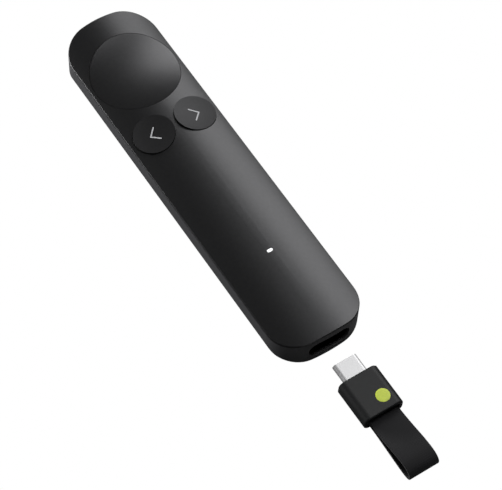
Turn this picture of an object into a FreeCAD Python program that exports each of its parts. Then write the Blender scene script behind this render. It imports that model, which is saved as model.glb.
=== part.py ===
import FreeCAD, Part
import Sketcher
import math
import os

# Wireless presentation clicker: a long hand-held body with a dished pointer button and two page buttons,
# and a small plug-in receiver on a strap loop, shown pulled out of its dock in line with the port.
# Millimetres. +X across the body, +Y toward the pointer end, +Z up, origin on the flat underside.

os.makedirs("parts", exist_ok=True)
doc = FreeCAD.newDocument("clicker")
V = FreeCAD.Vector

# driving dimensions: plain numbers are measured or chosen, the entries that start with "=" follow from them
SIZES = [
    ("body_wid", 30.76), ("body_len", 132.46), ("corner_rad", 10.56), ("end_rad", 62.5),
    ("crown_top", 11.98), ("crown_rise", 3.14), ("flat_half", 4.0), ("belly_rad", 50.0),
    ("belly_corner", 2.0), ("foot_round", 0.5), ("cover_edge_bevel", 0.2),
    ("wall_thick", 1.2), ("floor_top", 2.2), ("cover_thick", 1.4), ("rim_thick", 0.55), ("seam_gap", 0.10),
    ("press_gap", 0.12), ("press_travel", 0.35), ("nub_gap", 0.45), ("small_gap", 0.10),
    ("half_wid", "=body_wid/2"), ("half_len", "=body_len/2"),
    ("side_half", "=body_len/2 - end_rad + sqrt(end_rad^2 - (body_wid/2)^2)"),
    ("crown_rad", "=(half_wid^2 + crown_rise^2)/(2*crown_rise)"),
    ("crown_axis", "=crown_top - crown_rad"),
    ("case_top_rad", "=crown_rad - rim_thick - seam_gap"),
    ("rim_under_rad", "=crown_rad - rim_thick"),
    ("cover_under_rad", "=crown_rad - cover_thick"),
    ("blank_height", "=crown_top + 2"),
    ("cavity_wid", "=body_wid - 2*wall_thick"), ("cavity_len", "=body_len - 2*wall_thick"),
    ("cavity_corner", "=corner_rad - wall_thick"), ("cavity_end_rad", "=end_rad - wall_thick"),
    ("cavity_side", "=cavity_len/2 - cavity_end_rad + sqrt(cavity_end_rad^2 - (cavity_wid/2)^2)"),
    ("tuck_wid", "=cavity_wid - 2*small_gap"), ("tuck_len", "=cavity_len - 2*small_gap"),
    ("tuck_corner", "=cavity_corner - small_gap"), ("tuck_end_rad", "=cavity_end_rad - small_gap"),
    ("tuck_side", "=tuck_len/2 - tuck_end_rad + sqrt(tuck_end_rad^2 - (tuck_wid/2)^2)"),
    ("belly_centre_dx", "=half_wid - belly_corner - flat_half"),
    ("wall_foot", "=belly_rad - sqrt((belly_rad - belly_corner)^2 - belly_centre_dx^2)"),
    # pointer button: saddle shaped dish in a round hole of the cover
    ("dish_from_head", 22.93), ("dish_y", "=half_len - dish_from_head"),
    ("dish_margin", 1.005), ("dish_rad", "=half_wid - dish_margin"),
    ("dish_depth", 1.65), ("dish_cross_rad", 95.9), ("cap_thick", 1.0),
    ("dish_low", "=crown_top - dish_depth"),
    ("dish_arc_rad", "=(dish_rad^2 + dish_depth^2)/(2*dish_depth)"),
    ("dish_axis", "=dish_low - dish_cross_rad"),
    ("dish_button_rad", "=dish_rad - press_gap"), ("dish_relief_rad", "=dish_rad + 0.25"),
    ("dish_blank_half", "=dish_rad + 0.4"),
    ("relief_floor", "=crown_axis + sqrt(crown_rad^2 - half_wid^2) - 1.9"),
    ("dish_tab_wid", 5.0), ("dish_tab_reach", 1.0), ("tab_thick", 0.7),
    # page buttons
    ("page_margin", 7.946), ("page_x", "=half_wid - page_margin"),
    ("page_from_dish", 23.27), ("page_y", "=dish_y - page_from_dish"),
    ("page_rad", 6.70), ("page_proud", 0.25), ("page_dish", 0.40),
    ("page_thick", 1.9), ("page_button_rad", "=page_rad - press_gap"),
    ("page_relief_rad", "=page_rad + 0.25"),
    ("page_sphere", "=(page_button_rad^2 + page_dish^2)/(2*page_dish)"),
    ("page_tilt", "=asin(page_x/crown_rad)"),
    ("page_surface", "=crown_axis + sqrt(crown_rad^2 - page_x^2)"),
    ("page_tab_wid", 3.0), ("page_tab_reach", 0.9),
    # light window
    ("led_from_port", 32.76), ("led_y", "=led_from_port - half_len"), ("led_wid", 2.2),
    ("led_len", 1.1), ("led_round", 0.5),
    ("lens_wid", "=led_wid - 2*small_gap"), ("lens_len", "=led_len - 2*small_gap"),
    ("lens_round", "=led_round - small_gap"),
    ("led_flange_wid", 3.4), ("led_flange_len", 2.3), ("led_flange_thick", 0.6),
    # dock
    ("dock_z", 5.77), ("dock_wid", 14.3), ("dock_high", 6.7), ("dock_corner", 3.1), ("sleeve_wall", 0.6),
    ("dock_depth", 14.2), ("end_inner", "=half_len - wall_thick"),
    ("sleeve_wid", "=dock_wid + 2*sleeve_wall"), ("sleeve_high", "=dock_high + 2*sleeve_wall"),
    ("sleeve_corner", "=dock_corner + sleeve_wall"), ("sleeve_fit", 0.03),
    ("pocket_wid", "=sleeve_wid + 2*sleeve_fit"), ("pocket_high", "=sleeve_high + 2*sleeve_fit"),
    ("pocket_corner", "=sleeve_corner + sleeve_fit"),
    ("sleeve_len", "=dock_depth - wall_thick - 0.45"),
    # plug, receptacle and board
    ("plug_wid", 8.25), ("plug_high", 2.4), ("plug_corner", 1.15), ("plug_len", 6.5), ("plug_skin", 0.3),
    ("port_shell_wid", 8.95), ("port_shell_high", 3.2), ("port_shell_corner", 1.5), ("port_shell_skin", 0.25),
    ("port_shell_len", 7.3), ("tongue_wid", 6.6), ("tongue_thick", 0.7), ("tongue_len", 5.6),
    ("board_thick", 0.8), ("board_wid", 19.0), ("board_from_head", 9.23),
    ("board_head", "=half_len - board_from_head"),
    ("board_z", "=dock_z + port_shell_high/2"), ("board_top", "=board_z + board_thick"),
    ("port_mouth", "=dock_depth + 0.15 - half_len"),
    ("board_len", "=board_head - port_mouth"),
    ("switch_side", 4.2), ("switch_base", 0.35), ("switch_dot", 0.25), ("switch_dot_rad", 1.0),
    ("switch_top", "=board_top + switch_base + switch_dot"), ("nub_low", "=switch_top + nub_gap"),
    ("nub_rad", 1.3),
    ("battery_wid", 18.0), ("battery_high", 4.4), ("battery_from_port", 28.73),
    ("battery_start", "=battery_from_port - half_len"), ("battery_from_page", 13.53),
    ("battery_len", "=page_y - battery_start - battery_from_page"),
    ("battery_round", 1.2), ("pad_thick", 0.3),
    ("battery_z", "=floor_top + pad_thick"),
    ("motor_from_dish", 16.3), ("motor_y", "=dish_y - motor_from_dish"),
    ("motor_rad", 5.0), ("motor_high", 3.0),
    ("shield_wid", 11.0), ("shield_len", 9.0), ("shield_high", 1.2), ("shield_from_battery", 25.5),
    ("shield_y", "=battery_start + shield_from_battery"),
    ("boss_x", 7.3), ("boss_rad", 1.9), ("boss_bore", 0.8), ("boss_gap", 1.4),
    ("boss_low_y", "=battery_start - boss_rad - boss_gap"),
    ("boss_high_y", "=battery_start + battery_len + boss_rad + boss_gap"),
    ("boss_high", "=board_z - floor_top"), ("board_bore", 0.95),
    ("screw_rad", 0.7), ("screw_head_rad", 1.3), ("screw_head", 0.6), ("screw_len", 3.6),
    # receiver, drawn out of the dock by receiver_gap
    ("receiver_gap", 7.3), ("housing_wid", 13.6), ("housing_len", 14.1), ("housing_high", 6.0),
    ("housing_side", 2.3), ("housing_end_round", 0.5), ("housing_front_bevel", 0.4),
    ("slot_wid", 10.9), ("slot_high", 3.9), ("slot_corner", 0.6),
    ("plug_tip", "=-half_len - receiver_gap"), ("housing_front", "=plug_tip - plug_len"),
    ("housing_rear", "=housing_front - housing_len"), ("plug_root", 3.2),
    ("slot_depth", "=housing_len - plug_root"),
    ("chip_side", 3.4), ("chip_high", 0.7), ("receiver_board_wid", 9.6), ("receiver_board_len", 6.2),
    ("receiver_board_thick", 0.6), ("receiver_board_front", "=housing_front - plug_root"),
    ("anchor_wid", 10.5), ("anchor_len", 1.6), ("anchor_high", 3.5),
    ("anchor_front", "=receiver_board_front - receiver_board_len"),
    ("strap_wid", 10.2), ("strap_thick", 0.85), ("strap_out", 21.0), ("strap_drop", 0.7), ("loop_rad", 1.85),
    ("port_bore_wid", "=port_shell_wid - 2*port_shell_skin"),
    ("port_bore_high", "=port_shell_high - 2*port_shell_skin"),
    ("port_bore_corner", "=port_shell_corner - port_shell_skin"),
    ("dish_under", "=dish_low - cap_thick"), ("dish_arc_z", "=dish_low + dish_arc_rad"),
    ("dish_axis_down", "=-1*dish_axis"), ("axis_half", 20), ("saddle_turn", 24),
    ("dish_tab_low", "=crown_top - cover_thick - 0.35 - tab_thick"),
    ("page_tab_thick", 0.6), ("page_tab_x", "=page_x - 0.4"),
    ("page_tab_low", "=board_top + press_travel + 0.15"),
    ("plug_bore_wid", "=plug_wid - 2*plug_skin"), ("plug_bore_high", "=plug_high - 2*plug_skin"),
    ("plug_bore_corner", "=plug_corner - plug_skin"),
    ("core_wid", "=plug_bore_wid"), ("core_high", "=plug_bore_high"), ("core_corner", "=plug_bore_corner"),
    ("core_slot_wid", "=tongue_wid + 0.25"), ("core_slot_high", 1.24), ("pin_thick", 0.1), ("pin_wid", 0.26),
    ("pin_len", 5.0), ("pin_pitch", 0.5),
    ("strap_start", "=anchor_front - anchor_len"), ("strap_far", "=housing_rear - strap_out"),
    ("strap_reach", "=strap_start - strap_far - loop_rad"), ("loop_inner_rad", "=loop_rad - strap_thick"),
    ("strap_flat", "=strap_start - housing_rear + 0.6"), ("strap_split", "=strap_flat + 0.4"),
]
WORDS = [word for word, value in SIZES]
sheet = doc.addObject("Spreadsheet::Sheet", "P")
for row, (word, value) in enumerate(SIZES, 1):
    sheet.set("A%d" % row, word)
    sheet.set("B%d" % row, str(value))
    sheet.setAlias("B%d" % row, word)
doc.recompute()


def num(word):
    # present value of a named size
    value = sheet.get(word)
    return float(getattr(value, "Value", value))


def bind(obj, prop, expression):
    obj.setExpression(prop, expression)


def named(expression):
    # let a bare size name stand for the spreadsheet entry
    return "P." + expression if expression in WORDS else expression


def place(obj, x="0", y="0", z="0"):
    bind(obj, "Placement.Base.x", named(x))
    bind(obj, "Placement.Base.y", named(y))
    bind(obj, "Placement.Base.z", named(z))


def box(label, wide, deep, high, x="0", y="0", z="0"):
    # upright block centred in X on x, starting at y and z
    part = doc.addObject("Part::Box", label)
    part.Label = label
    bind(part, "Length", named(wide))
    bind(part, "Width", named(deep))
    bind(part, "Height", named(high))
    place(part, "(%s) - (%s)/2" % (named(x), named(wide)), y, z)
    return part


def cylinder(label, radius, high, x="0", y="0", z="0"):
    part = doc.addObject("Part::Cylinder", label)
    part.Label = label
    bind(part, "Radius", named(radius))
    bind(part, "Height", named(high))
    place(part, x, y, z)
    return part


def long_cylinder(label, radius, axis_z):
    # cylinder lying along Y, longer than the body
    part = doc.addObject("Part::Cylinder", label)
    part.Label = label
    part.Placement = FreeCAD.Placement(V(0, 0, 0), FreeCAD.Rotation(V(1, 0, 0), -90))
    bind(part, "Radius", named(radius))
    bind(part, "Height", "P.body_len + 20")
    place(part, "0", "-P.half_len - 10", axis_z)
    return part


def boolean(kind, label, parts):
    obj = doc.addObject({"common": "Part::MultiCommon", "fuse": "Part::MultiFuse"}[kind], label)
    obj.Shapes = parts
    obj.Label = label
    obj.Refine = True
    return obj


def cut(label, base, tools):
    tool = tools[0] if len(tools) == 1 else boolean("fuse", label + "_tools", tools)
    obj = doc.addObject("Part::Cut", label)
    obj.Base = base
    obj.Tool = tool
    obj.Refine = True
    obj.Label = label
    return obj


def new_sketch(body, plane, name, shift="0"):
    # sketch on an origin plane of the body, moved along the plane normal by shift
    sketch = body.newObject("Sketcher::SketchObject", name)
    origin = [f for f in body.Origin.OriginFeatures if f.Name.startswith(plane + "_Plane")][0]
    sketch.AttachmentSupport = [(origin, "")]
    sketch.MapMode = "FlatFace"
    bind(sketch, "AttachmentOffset.Base.z", named(shift))
    return sketch


def fix(sketch, kind, *args):
    # dimension tied to a size expression, the last of args
    value = args[-1]
    first = abs(sheet_value(value))
    index = sketch.addConstraint(Sketcher.Constraint(kind, *args[:-1], first))
    sketch.setExpression("Constraints[%d]" % index, named(value))


def sheet_value(expression):
    # number behind "name", "P.name/2" or "P.name"
    word = expression.replace("P.", "")
    if word.endswith("/2"):
        return num(word[:-2]) / 2.0
    return num(word)


def rounded_rect(sketch, wide, high, radius):
    # rectangle centred on the sketch origin with four equal corner arcs
    w, h, r = num(wide) / 2, num(high) / 2, num(radius)
    line = [
        sketch.addGeometry(Part.LineSegment(V(-w + r, -h, 0), V(w - r, -h, 0)), False),
        sketch.addGeometry(Part.LineSegment(V(w, -h + r, 0), V(w, h - r, 0)), False),
        sketch.addGeometry(Part.LineSegment(V(w - r, h, 0), V(-w + r, h, 0)), False),
        sketch.addGeometry(Part.LineSegment(V(-w, h - r, 0), V(-w, -h + r, 0)), False),
    ]
    centres = [(w - r, -h + r), (w - r, h - r), (-w + r, h - r), (-w + r, -h + r)]
    arc = []
    for k, (cx, cy) in enumerate(centres):
        start = -math.pi / 2 + k * math.pi / 2
        circle = Part.Circle(V(cx, cy, 0), V(0, 0, 1), r)
        arc.append(sketch.addGeometry(Part.ArcOfCircle(circle, start, start + math.pi / 2), False))
    for k in range(4):
        sketch.addConstraint(Sketcher.Constraint("Tangent", line[k], 2, arc[k], 1))
        sketch.addConstraint(Sketcher.Constraint("Tangent", arc[k], 2, line[(k + 1) % 4], 1))
    for k in (0, 2):
        sketch.addConstraint(Sketcher.Constraint("Horizontal", line[k]))
        sketch.addConstraint(Sketcher.Constraint("Vertical", line[k + 1]))
    for k in (1, 2, 3):
        sketch.addConstraint(Sketcher.Constraint("Equal", arc[0], arc[k]))
    fix(sketch, "Radius", arc[0], radius)
    fix(sketch, "DistanceX", -1, 1, line[1], 1, "P.%s/2" % wide)
    fix(sketch, "DistanceX", line[3], 1, -1, 1, "P.%s/2" % wide)
    fix(sketch, "DistanceY", -1, 1, line[2], 1, "P.%s/2" % high)
    fix(sketch, "DistanceY", line[0], 1, -1, 1, "P.%s/2" % high)


def pad(body, sketch, length, midplane=False):
    feature = body.newObject("PartDesign::Pad", sketch.Name + "_pad")
    feature.Profile = sketch
    bind(feature, "Length", named(length))
    if midplane:
        feature.Midplane = True
    sketch.Visibility = False
    doc.recompute()
    return feature


def new_body(label):
    body = doc.addObject("PartDesign::Body", label)
    body.Label = label
    return body


def rounded_block(label, plane, wide, high, radius, start, length, side="0", up="0"):
    # rounded rectangle pushed along the plane normal from start; XY goes up, XZ goes toward -Y
    body = new_body(label)
    sketch = new_sketch(body, plane, label + "_outline", start if plane == "XY" else "-(%s)" % named(start))
    bind(sketch, "AttachmentOffset.Base.x", named(side))
    bind(sketch, "AttachmentOffset.Base.y", named(up))
    rounded_rect(sketch, wide, high, radius)
    pad(body, sketch, length)
    return body


def plan_slab(label, wide, side, end_radius, corner, start, high):
    # plan shape of the body: straight sides, gently bowed ends, rounded corners
    body = new_body(label)
    sketch = new_sketch(body, "XY", label + "_outline", start)
    w, s, r = num(wide) / 2, num(side), num(end_radius)
    half = math.asin(w / r)
    drop = math.sqrt(r * r - w * w)
    right = sketch.addGeometry(Part.LineSegment(V(w, -s, 0), V(w, s, 0)), False)
    head = sketch.addGeometry(Part.ArcOfCircle(Part.Circle(V(0, s - drop, 0), V(0, 0, 1), r),
                                               math.pi / 2 - half, math.pi / 2 + half), False)
    left = sketch.addGeometry(Part.LineSegment(V(-w, s, 0), V(-w, -s, 0)), False)
    tail = sketch.addGeometry(Part.ArcOfCircle(Part.Circle(V(0, drop - s, 0), V(0, 0, 1), r),
                                               -math.pi / 2 - half, -math.pi / 2 + half), False)
    ring = [right, head, left, tail]
    for k in range(4):
        sketch.addConstraint(Sketcher.Constraint("Coincident", ring[k], 2, ring[(k + 1) % 4], 1))
    for k in (right, left):
        sketch.addConstraint(Sketcher.Constraint("Vertical", k))
    for k in (head, tail):
        sketch.addConstraint(Sketcher.Constraint("PointOnObject", k, 3, -2))
    sketch.addConstraint(Sketcher.Constraint("Equal", head, tail))
    fix(sketch, "Radius", head, end_radius)
    fix(sketch, "DistanceX", -1, 1, right, 1, "P.%s/2" % wide)
    fix(sketch, "DistanceX", left, 1, -1, 1, "P.%s/2" % wide)
    fix(sketch, "DistanceY", -1, 1, right, 2, side)
    fix(sketch, "DistanceY", right, 1, -1, 1, side)
    block = pad(body, sketch, high)
    edges = []
    for k, edge in enumerate(block.Shape.Edges, 1):
        ends = [v.Point for v in edge.Vertexes]
        if len(ends) == 2 and abs(ends[0].z - ends[1].z) > 1 and abs(ends[0].x - ends[1].x) < 1e-6:
            edges.append("Edge%d" % k)
    rounding = body.newObject("PartDesign::Fillet", label + "_corners")
    rounding.Base = (block, edges)
    bind(rounding, "Radius", named(corner))
    doc.recompute()
    return body


def dressed(label, base, pick, size, kind="Fillet"):
    # a body that takes base and rounds or bevels the edges chosen by pick
    body = new_body(label)
    body.BaseFeature = base
    doc.recompute()
    feature = body.newObject("PartDesign::" + kind, label + "_edges")
    source = body.Group[0]
    feature.Base = (source, ["Edge%d" % k for k, e in enumerate(source.Shape.Edges, 1) if pick(e)])
    bind(feature, "Radius" if kind == "Fillet" else "Size", named(size))
    doc.recompute()
    return body


finished = []


def keep(obj, label):
    obj.Label = label
    finished.append((label, obj))
    return obj


# body shell: plan outline, rounded belly section and the crowned top
section_body = new_body("section_blank")
section = new_sketch(section_body, "XZ", "belly_section")
hw, flat, foot = num("half_wid"), num("flat_half"), num("wall_foot")
rb, rc = num("belly_rad"), num("belly_corner")
turn = math.asin(num("belly_centre_dx") / (rb - rc))
TOP = num("blank_height")
floor_line = section.addGeometry(Part.LineSegment(V(-flat, 0, 0), V(flat, 0, 0)), False)
belly_r = section.addGeometry(Part.ArcOfCircle(Part.Circle(V(flat, rb, 0), V(0, 0, 1), rb),
                                               -math.pi / 2, -math.pi / 2 + turn), False)
corner_r = section.addGeometry(Part.ArcOfCircle(Part.Circle(V(hw - rc, foot, 0), V(0, 0, 1), rc),
                                                -math.pi / 2 + turn, 0), False)
wall_r = section.addGeometry(Part.LineSegment(V(hw, foot, 0), V(hw, TOP, 0)), False)
roof = section.addGeometry(Part.LineSegment(V(hw, TOP, 0), V(-hw, TOP, 0)), False)
wall_l = section.addGeometry(Part.LineSegment(V(-hw, TOP, 0), V(-hw, foot, 0)), False)
corner_l = section.addGeometry(Part.ArcOfCircle(Part.Circle(V(rc - hw, foot, 0), V(0, 0, 1), rc),
                                                -math.pi, -math.pi / 2 - turn), False)
belly_l = section.addGeometry(Part.ArcOfCircle(Part.Circle(V(-flat, rb, 0), V(0, 0, 1), rb),
                                               -math.pi / 2 - turn, -math.pi / 2), False)
for a, b in ((floor_line, belly_r), (belly_r, corner_r), (corner_r, wall_r),
             (wall_l, corner_l), (corner_l, belly_l), (belly_l, floor_line)):
    section.addConstraint(Sketcher.Constraint("Tangent", a, 2, b, 1))
section.addConstraint(Sketcher.Constraint("Coincident", wall_r, 2, roof, 1))
section.addConstraint(Sketcher.Constraint("Coincident", roof, 2, wall_l, 1))
section.addConstraint(Sketcher.Constraint("Horizontal", roof))
section.addConstraint(Sketcher.Constraint("Vertical", wall_r))
section.addConstraint(Sketcher.Constraint("Vertical", wall_l))
section.addConstraint(Sketcher.Constraint("Horizontal", floor_line))
section.addConstraint(Sketcher.Constraint("Equal", belly_r, belly_l))
section.addConstraint(Sketcher.Constraint("Equal", corner_r, corner_l))
section.addConstraint(Sketcher.Constraint("PointOnObject", floor_line, 1, -1))
fix(section, "Radius", belly_r, "belly_rad")
fix(section, "Radius", corner_r, "belly_corner")
fix(section, "DistanceX", -1, 1, floor_line, 2, "flat_half")
fix(section, "DistanceX", floor_line, 1, -1, 1, "flat_half")
fix(section, "DistanceX", -1, 1, wall_r, 1, "half_wid")
fix(section, "DistanceX", wall_l, 2, -1, 1, "half_wid")
fix(section, "DistanceY", -1, 1, wall_r, 2, "blank_height")
pad(section_body, section, "P.body_len + 20", True)

outer_plan = plan_slab("outer_plan", "body_wid", "side_half", "end_rad", "corner_rad", "0", "blank_height")
case_blank = boolean("common", "case_blank", [outer_plan, section_body,
                                              long_cylinder("case_crown", "case_top_rad", "crown_axis")])
doc.recompute()


def bottom_edge(edge):
    # outer edges of the two ends, where the underside meets the end wall
    box_ = edge.BoundBox
    return box_.ZMax < num("wall_foot") - 0.05 and box_.YLength < 25 and box_.ZMin > -0.01 and \
        min(abs(box_.YMin), abs(box_.YMax)) > num("half_len") - num("corner_rad") - 3 and box_.XLength > 0.01


case_body = dressed("case_body", case_blank, bottom_edge, "foot_round")

cavity = plan_slab("case_cavity", "cavity_wid", "cavity_side", "cavity_end_rad", "cavity_corner",
                   "floor_top", "blank_height")
sleeve_pocket = rounded_block("sleeve_pocket", "XZ", "pocket_wid", "pocket_high", "pocket_corner",
                              "P.sleeve_len + 0.4 - P.end_inner", "P.sleeve_len + 0.4", "0", "dock_z")
dock_cut = rounded_block("dock_cut", "XZ", "dock_wid", "dock_high", "dock_corner",
                         "-P.end_inner + 1", "P.wall_thick + 3", "0", "dock_z")
dish_relief = cylinder("dish_relief", "dish_relief_rad", "10", "0", "dish_y", "relief_floor")
page_reliefs = [cylinder("page_relief_%d" % k, "page_relief_rad", "10", "%s P.page_x" % s, "page_y",
                         "relief_floor") for k, s in enumerate(("-", ""))]
hollow = cut("case_hollow", case_body, [cavity, sleeve_pocket, dock_cut, dish_relief] + page_reliefs)
# two screws hold the board, at opposite corners
BOSSES = (("-", "boss_low_y"), ("", "boss_high_y"))
bosses = [cylinder("boss_%d" % k, "boss_rad", "P.boss_high + 0.2", "%s P.boss_x" % sx, y, "P.floor_top - 0.2")
          for k, (sx, y) in enumerate(BOSSES)]
case_solid = boolean("fuse", "case_solid", [hollow] + bosses)
bores = [cylinder("boss_bore_%d" % k, "boss_bore", "6", "%s P.boss_x" % sx, y, "P.board_z - 4")
         for k, (sx, y) in enumerate(BOSSES)]
keep(cut("bottom_case", case_solid, bores), "bottom_case")

# cover: thin rim lying on the wall, thicker centre tucked inside it, one crowned skin
crown = long_cylinder("crown", "crown_rad", "crown_axis")
cover_blank = boolean("common", "cover_blank", [outer_plan, crown])
doc.recompute()


def crown_rim(edge):
    # outer edge of the crown
    box_ = edge.BoundBox
    low = num("crown_top") - num("crown_rise")
    return box_.ZMin > low - 0.1


cover_body = dressed("cover_body", cover_blank, crown_rim, "cover_edge_bevel", "Chamfer")
under = long_cylinder("cover_under", "cover_under_rad", "crown_axis")
rim_under = long_cylinder("rim_under", "rim_under_rad", "crown_axis")
tuck = plan_slab("cover_tuck", "tuck_wid", "tuck_side", "tuck_end_rad", "tuck_corner", "0", "blank_height")
rim_waste = cut("rim_waste", rim_under, [tuck])
dish_hole = cylinder("dish_hole", "dish_rad", "20", "0", "dish_y", "0")
page_holes = [cylinder("page_hole_%d" % k, "page_rad", "20", "%s P.page_x" % s, "page_y", "0")
              for k, s in enumerate(("-", ""))]
led_hole = rounded_block("led_hole", "XY", "led_wid", "led_len", "led_round", "0", "20", "0", "led_y")
keep(cut("top_cover", cover_body, [under, rim_waste, dish_hole, led_hole] + page_holes), "top_cover")

# dock: black sleeve behind the end wall
sleeve_block = rounded_block("sleeve_block", "XZ", "sleeve_wid", "sleeve_high", "sleeve_corner",
                             "P.sleeve_len - P.end_inner",
                             "sleeve_len", "0", "dock_z")
sleeve_bore = rounded_block("sleeve_bore", "XZ", "dock_wid", "dock_high", "dock_corner",
                            "P.sleeve_len - P.end_inner + 1", "P.sleeve_len + 2", "0", "dock_z")
keep(cut("dock_sleeve", sleeve_block, [sleeve_bore]), "dock_sleeve")

# receptacle: metal shell and tongue
shell_block = rounded_block("port_shell_block", "XZ", "port_shell_wid", "port_shell_high",
                            "port_shell_corner", "P.port_mouth + P.port_shell_len", "port_shell_len",
                            "0", "dock_z")
shell_in = rounded_block("port_shell_bore", "XZ", "port_bore_wid", "port_bore_high", "port_bore_corner",
                         "P.port_mouth + P.port_shell_len - 0.5", "port_shell_len", "0", "dock_z")
keep(cut("usb_receptacle", shell_block, [shell_in]), "usb_receptacle")
keep(box("receptacle_tongue", "tongue_wid", "tongue_len", "tongue_thick",
         "0", "P.port_mouth + P.port_shell_len - 0.5 - P.tongue_len", "P.dock_z - P.tongue_thick/2"),
     "receptacle_tongue")

# board with its screws, switches, light, shield, battery and motor
board = box("board_plate", "board_wid", "board_len", "board_thick", "0", "port_mouth", "board_z")
board_bores = [cylinder("board_bore_%d" % k, "board_bore", "3", "%s P.boss_x" % sx, y, "P.board_z - 1")
               for k, (sx, y) in enumerate(BOSSES)]
keep(cut("main_board", board, board_bores), "main_board")
screws = []
for k, (sx, y) in enumerate(BOSSES):
    head = cylinder("screw_head_%d" % k, "screw_head_rad", "screw_head", "%s P.boss_x" % sx, y, "board_top")
    shank = cylinder("screw_shank_%d" % k, "screw_rad", "screw_len", "%s P.boss_x" % sx, y,
                     "P.board_top - P.screw_len")
    screws += [head, shank]
keep(boolean("fuse", "board_screws", screws), "board_screws")


def switch(label, x, y):
    base = box(label + "_base", "switch_side", "switch_side", "switch_base", x,
               "%s - P.switch_side/2" % y, "board_top")
    dot = cylinder(label + "_dot", "switch_dot_rad", "P.switch_dot + 0.05", x, y,
                   "P.board_top + P.switch_base - 0.05")
    keep(boolean("fuse", label, [base, dot]), label)


switch("pointer_switch", "0", "P.dish_y")
switch("back_switch", "-P.page_x", "P.page_y")
switch("next_switch", "P.page_x", "P.page_y")
keep(box("status_led", "1.6", "0.8", "0.7", "0", "P.led_y - 0.4", "board_top"), "status_led")
keep(box("radio_shield", "shield_wid", "shield_len", "shield_high", "0", "shield_y", "board_top"),
     "radio_shield")
keep(rounded_block("battery", "XY", "battery_wid", "battery_len", "battery_round", "battery_z",
                   "battery_high", "0", "P.battery_start + P.battery_len/2"), "battery")
keep(box("battery_pad", "P.battery_wid - 3", "P.battery_len - 4", "pad_thick", "0", "P.battery_start + 2",
         "floor_top"), "battery_pad")
keep(cylinder("haptic_motor", "motor_rad", "motor_high", "0", "motor_y", "floor_top"), "haptic_motor")

# light window: flanged lens following the crown
lens_stem = rounded_block("lens_stem", "XY", "lens_wid", "lens_len", "lens_round", "P.crown_top - 2.2", "4",
                          "0", "led_y")
lens_raw = boolean("common", "lens_raw", [lens_stem, long_cylinder("lens_crown", "crown_rad", "crown_axis")])
lens_flange_raw = box("lens_flange_raw", "led_flange_wid", "led_flange_len", "2", "0",
                      "P.led_y - P.led_flange_len/2",
                      "P.crown_top - P.cover_thick - P.led_flange_thick - 0.1")
flange_crown = long_cylinder("flange_crown", "P.cover_under_rad - 0.02", "crown_axis")
lens_flange = boolean("common", "lens_flange", [lens_flange_raw, flange_crown])
keep(boolean("fuse", "led_lens", [lens_raw, lens_flange]), "led_lens")

# pointer button: saddle skin cut round, two tabs under the cover and a nub over its switch
saddle = new_body("saddle_skin")
arc_sketch = new_sketch(saddle, "YZ", "saddle_section")
bind(arc_sketch, "AttachmentOffset.Base.x", "P.dish_y")
half, ra, low = num("dish_blank_half"), num("dish_arc_rad"), num("dish_low")
under_z = low - num("cap_thick")
ang_in = math.asin(half / ra)
top_y = low + ra
upper = arc_sketch.addGeometry(Part.ArcOfCircle(Part.Circle(V(0, top_y, 0), V(0, 0, 1), ra),
                                                -math.pi / 2 - ang_in, -math.pi / 2 + ang_in), False)
lower = arc_sketch.addGeometry(Part.LineSegment(V(half, under_z, 0), V(-half, under_z, 0)), False)
rim_z = top_y - ra * math.cos(ang_in)
side_r = arc_sketch.addGeometry(Part.LineSegment(V(half, rim_z, 0), V(half, under_z, 0)), False)
side_l = arc_sketch.addGeometry(Part.LineSegment(V(-half, under_z, 0), V(-half, rim_z, 0)), False)
axis = arc_sketch.addGeometry(Part.LineSegment(V(-20, num("dish_axis"), 0), V(20, num("dish_axis"), 0)), True)
add = arc_sketch.addConstraint
add(Sketcher.Constraint("Coincident", upper, 2, side_r, 1))
add(Sketcher.Constraint("Coincident", side_r, 2, lower, 1))
add(Sketcher.Constraint("Coincident", lower, 2, side_l, 1))
add(Sketcher.Constraint("Coincident", side_l, 2, upper, 1))
add(Sketcher.Constraint("Horizontal", lower))
add(Sketcher.Constraint("PointOnObject", upper, 3, -2))
add(Sketcher.Constraint("Vertical", side_r))
add(Sketcher.Constraint("Vertical", side_l))
add(Sketcher.Constraint("Horizontal", axis))
fix(arc_sketch, "Radius", upper, "dish_arc_rad")
fix(arc_sketch, "DistanceY", -1, 1, lower, 1, "dish_under")
fix(arc_sketch, "DistanceX", -1, 1, side_r, 1, "dish_blank_half")
fix(arc_sketch, "DistanceX", side_l, 1, -1, 1, "dish_blank_half")
fix(arc_sketch, "DistanceY", -1, 1, upper, 3, "dish_arc_z")
fix(arc_sketch, "DistanceY", axis, 1, -1, 1, "dish_axis_down")
fix(arc_sketch, "DistanceX", axis, 1, -1, 1, "axis_half")
fix(arc_sketch, "DistanceX", -1, 1, axis, 2, "axis_half")
turn_feature = saddle.newObject("PartDesign::Revolution", "saddle_turn")
turn_feature.Profile = arc_sketch
turn_feature.ReferenceAxis = (arc_sketch, ["Axis0"])
turn_feature.Midplane = True
bind(turn_feature, "Angle", "P.saddle_turn")
doc.recompute()
dish_cyl = cylinder("dish_cylinder", "dish_button_rad", "20", "0", "dish_y", "0")
dish_cap = boolean("common", "dish_cap", [saddle, dish_cyl])
dish_tabs = []
for k, s in enumerate(("-", "+")):
    outer_y = "P.dish_y %s (P.dish_rad + P.dish_tab_reach/2 - 0.9) - (P.dish_tab_reach + 1.8)/2" % s
    dish_tabs.append(box("dish_tab_%d" % k, "dish_tab_wid", "P.dish_tab_reach + 1.8", "tab_thick",
                         "0", outer_y, "P.dish_tab_low"))
dish_nub = cylinder("dish_nub", "nub_rad", "P.dish_low - P.cap_thick/2 - P.nub_low", "0", "dish_y", "nub_low")
keep(boolean("fuse", "pointer_button", [dish_cap, dish_nub] + dish_tabs), "pointer_button")


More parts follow.
